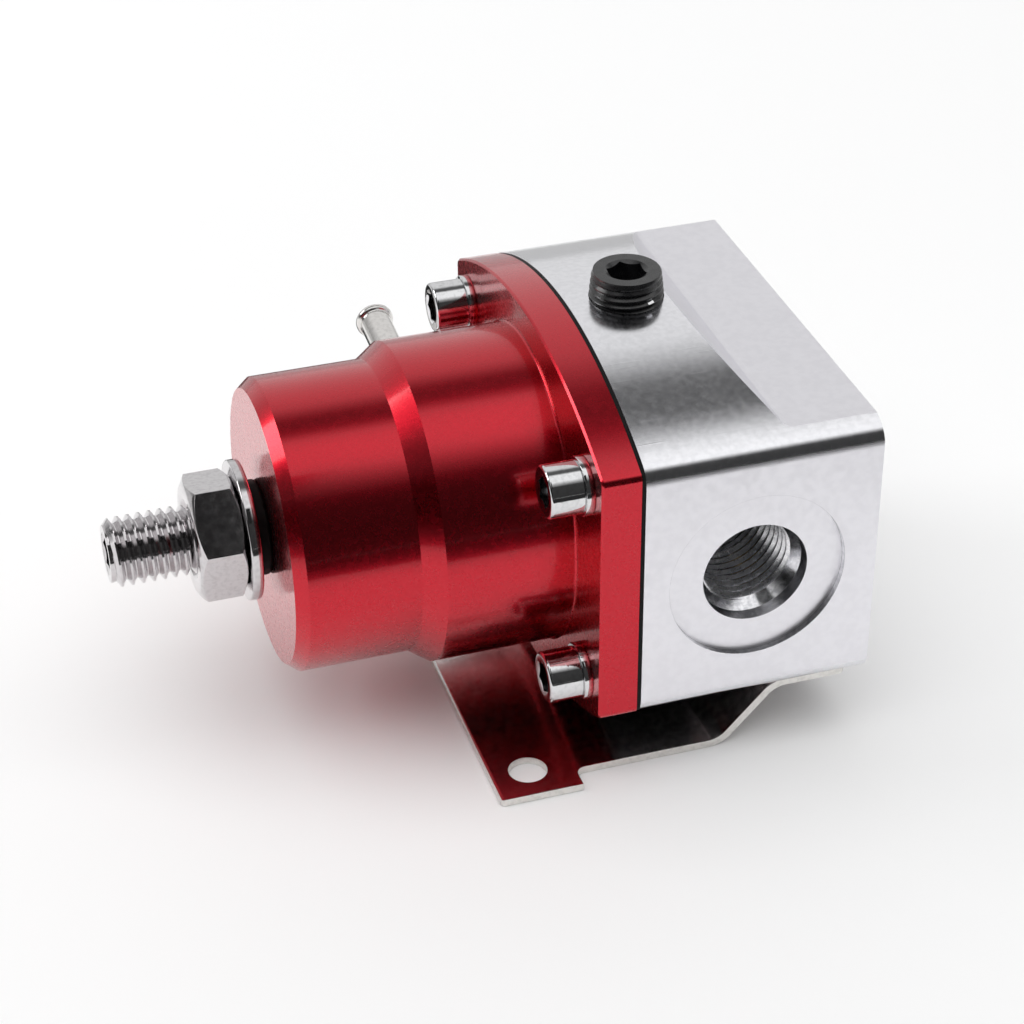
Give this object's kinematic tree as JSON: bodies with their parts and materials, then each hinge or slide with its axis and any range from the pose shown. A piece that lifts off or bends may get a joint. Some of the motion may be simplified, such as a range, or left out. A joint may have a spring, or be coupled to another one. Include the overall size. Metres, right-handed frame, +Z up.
{
  "type": "fuel pressure regulator",
  "caption": "Return-style fuel pressure regulator: crowned aluminium block with threaded ports, red spring bonnet, adjusting screw and bent mounting bracket",
  "frame": {"origin": "midway between the two mounting holes, on the underside of the bracket's foot", "axes": "+X along the regulator's axis from the adjusting screw to the return port, +Y to the vacuum nipple's side, +Z up"},
  "size_m": [0.101, 0.0786, 0.0622],
  "materials": {
    "polished_aluminium": "polished crown, satin sides and milled flats",
    "red_anodised": "red anodised, turned, satin",
    "diaphragm_rubber": "black rubberised fabric edge",
    "plated_steel": "bright zinc plated",
    "bright_steel": "bright nickel plated socket screws",
    "seal_rubber": "black rubber",
    "inner_steel": "plain machined steel",
    "spring_steel": "oiled spring wire",
    "seat_brass": "turned brass",
    "black_oxide": "black oxide steel",
    "nickel_plate": "bright nickel plate",
    "bracket_plate": "glossy plated sheet steel with pale cut edges"
  },
  "bodies": {
    "root": {"regulator_body": "polished_aluminium", "bonnet": "red_anodised", "diaphragm": "diaphragm_rubber", "spring": "spring_steel", "screw_seal": "seal_rubber", "valve_seat": "seat_brass", "cap_screw_1": "bright_steel", "cap_screw_2": "bright_steel", "cap_screw_3": "bright_steel", "cap_screw_4": "bright_steel", "lock_washer_1": "bright_steel", "lock_washer_2": "bright_steel", "lock_washer_3": "bright_steel", "lock_washer_4": "bright_steel", "gauge_port_plug": "black_oxide", "vacuum_nipple": "nickel_plate", "mounting_bracket": "bracket_plate", "bracket_screw_1": "plated_steel", "bracket_screw_2": "plated_steel"},
    "cap_slide": {"spring_cap": "inner_steel"},
    "adjuster": {"adjusting_screw": "plated_steel"},
    "washer_slide": {"nut_washer": "plated_steel"},
    "nut": {"lock_nut": "plated_steel"},
    "valve": {"diaphragm_upper_plate": "inner_steel", "diaphragm_lower_plate": "inner_steel", "valve_stem": "inner_steel", "stem_nut": "inner_steel", "valve_ball": "inner_steel"}
  },
  "joints": [
    {"name": "screw_travel", "type": "slide", "parent": "root", "child": "cap_slide", "axis": [1, 0, 0], "range_m": [-0.00151, 0.00451], "deforming": ["spring"]},
    {"name": "screw_turn", "type": "hinge", "parent": "cap_slide", "child": "adjuster", "pos_m": [-0.03, 0, 0.0306], "axis": [1, 0, 0], "range_deg": [-360, 1080]},
    {"name": "nut_travel", "type": "slide", "parent": "root", "child": "washer_slide", "axis": [-1, 0, 0], "range_m": [0, 0.00301]},
    {"name": "nut_turn", "type": "hinge", "parent": "washer_slide", "child": "nut", "pos_m": [-0.035, 0, 0.0306], "axis": [-1, 0, 0], "range_deg": [0, 720]},
    {"name": "valve_lift", "type": "slide", "parent": "root", "child": "valve", "axis": [-1, 0, 0], "range_m": [0, 0.001], "stiffness_N_per_m": 11000, "deforming": ["diaphragm", "spring"]}
  ],
  "couplings": [
    {"joint": "screw_travel", "follows": "screw_turn", "m_per_rad": 0.00023873},
    {"joint": "nut_travel", "follows": "nut_turn", "m_per_rad": 0.00023873}
  ]
}
